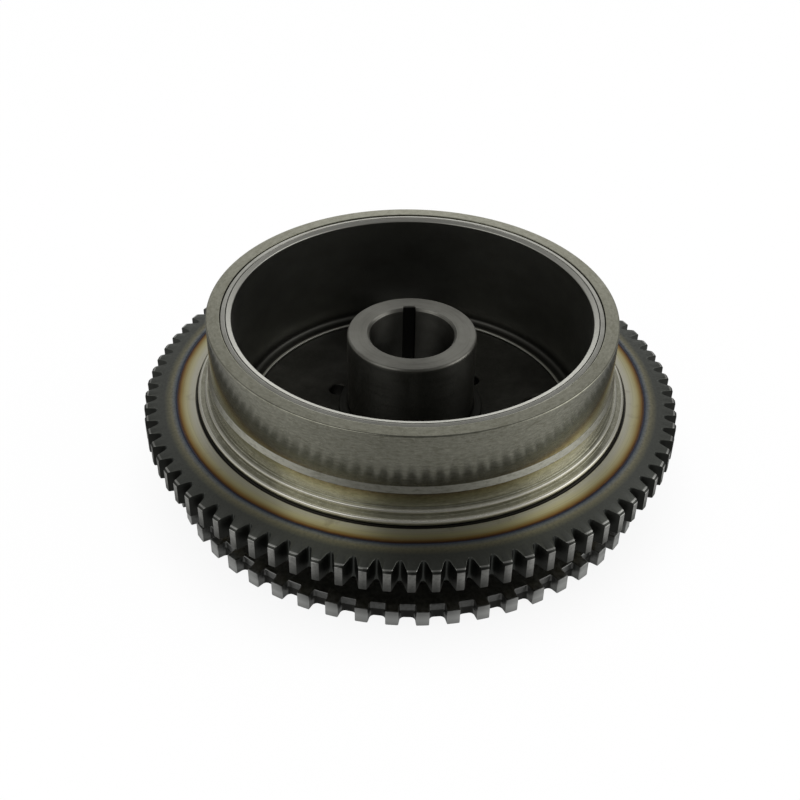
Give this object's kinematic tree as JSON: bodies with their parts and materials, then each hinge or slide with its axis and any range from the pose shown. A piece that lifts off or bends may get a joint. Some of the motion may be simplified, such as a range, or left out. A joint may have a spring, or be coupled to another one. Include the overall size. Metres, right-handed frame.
{
  "type": "magneto flywheel",
  "caption": "Cup-shaped magneto flywheel with a keyed hub, an outer starter ring gear and a lower toothed trigger ring.",
  "frame": {"origin": "on the axis of the bore, in the plane of the rear face that it lies on", "axes": "+Z along the axis towards the open cup, -Y towards the pictured front, +X to the right of it"},
  "size_m": [0.205, 0.205, 0.0702],
  "materials": {
    "drum_steel": "fine-turned steel, satin with warm grey tone",
    "hub_steel": "turned steel, darker satin",
    "weld": "dark heat-tinted weld bead",
    "carrier_steel": "faced steel with straw, brown and blue heat tint near the joint",
    "gear_steel": "hardened dark steel, matte to satin, bright worn tooth tips",
    "trigger_steel": "grey steel, satin tooth faces",
    "sleeve_steel": "dark smooth pressed steel with bright edge",
    "insert_steel": "faced steel ring",
    "magnet": "dull grey sintered magnet",
    "resin": "black moulded resin"
  },
  "bodies": {
    "root": {"drum": "drum_steel", "hub": "hub_steel", "hub_weld": "weld", "gear_carrier": "carrier_steel", "ring_gear": "gear_steel", "gear_weld": "weld", "trigger_ring": "trigger_steel", "magnet_sleeve": "sleeve_steel", "retaining_ring": "insert_steel", "magnet_01": "magnet", "magnet_spacer_01": "resin", "magnet_02": "magnet", "magnet_spacer_02": "resin", "magnet_03": "magnet", "magnet_spacer_03": "resin", "magnet_04": "magnet", "magnet_spacer_04": "resin", "magnet_05": "magnet", "magnet_spacer_05": "resin", "magnet_06": "magnet", "magnet_spacer_06": "resin", "magnet_07": "magnet", "magnet_spacer_07": "resin", "magnet_08": "magnet", "magnet_spacer_08": "resin", "magnet_09": "magnet", "magnet_spacer_09": "resin", "magnet_10": "magnet", "magnet_spacer_10": "resin", "magnet_11": "magnet", "magnet_spacer_11": "resin", "magnet_12": "magnet", "magnet_spacer_12": "resin"}
  },
  "joints": []
}
